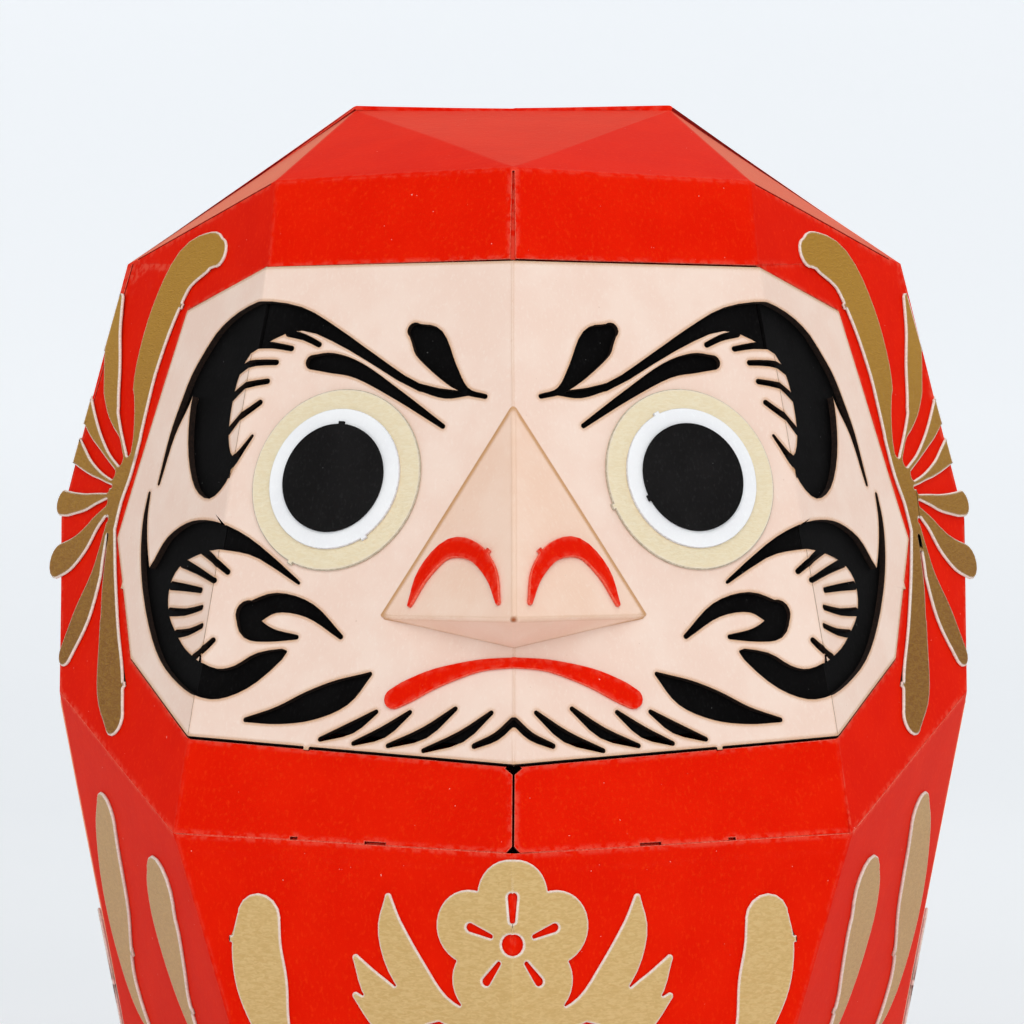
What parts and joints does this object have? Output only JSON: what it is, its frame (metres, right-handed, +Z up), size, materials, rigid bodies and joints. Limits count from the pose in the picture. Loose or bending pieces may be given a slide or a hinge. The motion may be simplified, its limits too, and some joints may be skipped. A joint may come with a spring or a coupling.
{
  "type": "paper daruma doll",
  "caption": "Faceted daruma doll of folded and glued die-cut card, with a layered cut-out face and gold card trim.",
  "frame": {"origin": "on the table under the middle of the doll", "axes": "+Z up, -Y the way the face looks, +X to the right of someone looking at the face"},
  "size_m": [0.1116, 0.1109, 0.1281],
  "materials": {
    "red_card": "matt coloured card",
    "cream_card": "matt coloured card",
    "black_card": "matt coloured card",
    "white_card": "matt coloured card",
    "gold_card": "embossed metallic paper",
    "pale_gold_card": "pearly metallic paper"
  },
  "bodies": {
    "root": {"hood_front": "red_card", "hood_back": "red_card", "body_front": "red_card", "body_back": "red_card", "base_plate": "red_card", "face_mask": "cream_card", "face_backing_left": "black_card", "face_backing_right": "black_card", "cheek_backing_left": "black_card", "cheek_backing_right": "black_card", "eye_ring_left": "pale_gold_card", "eye_ring_right": "pale_gold_card", "eye_white_left": "white_card", "eye_white_right": "white_card", "pupil_left": "black_card", "pupil_right": "black_card", "nose": "cream_card", "nostril_left": "red_card", "nostril_right": "red_card", "mouth": "red_card", "side_fan_left": "gold_card", "side_fan_right": "gold_card", "blossom_emblem": "gold_card", "front_stripe_left": "gold_card", "front_stripe_right": "gold_card", "side_stripe_left": "gold_card", "side_stripe_right": "gold_card", "outer_stripe_left": "gold_card", "outer_stripe_right": "gold_card", "rear_stripe_left": "gold_card", "rear_stripe_right": "gold_card"}
  },
  "joints": []
}
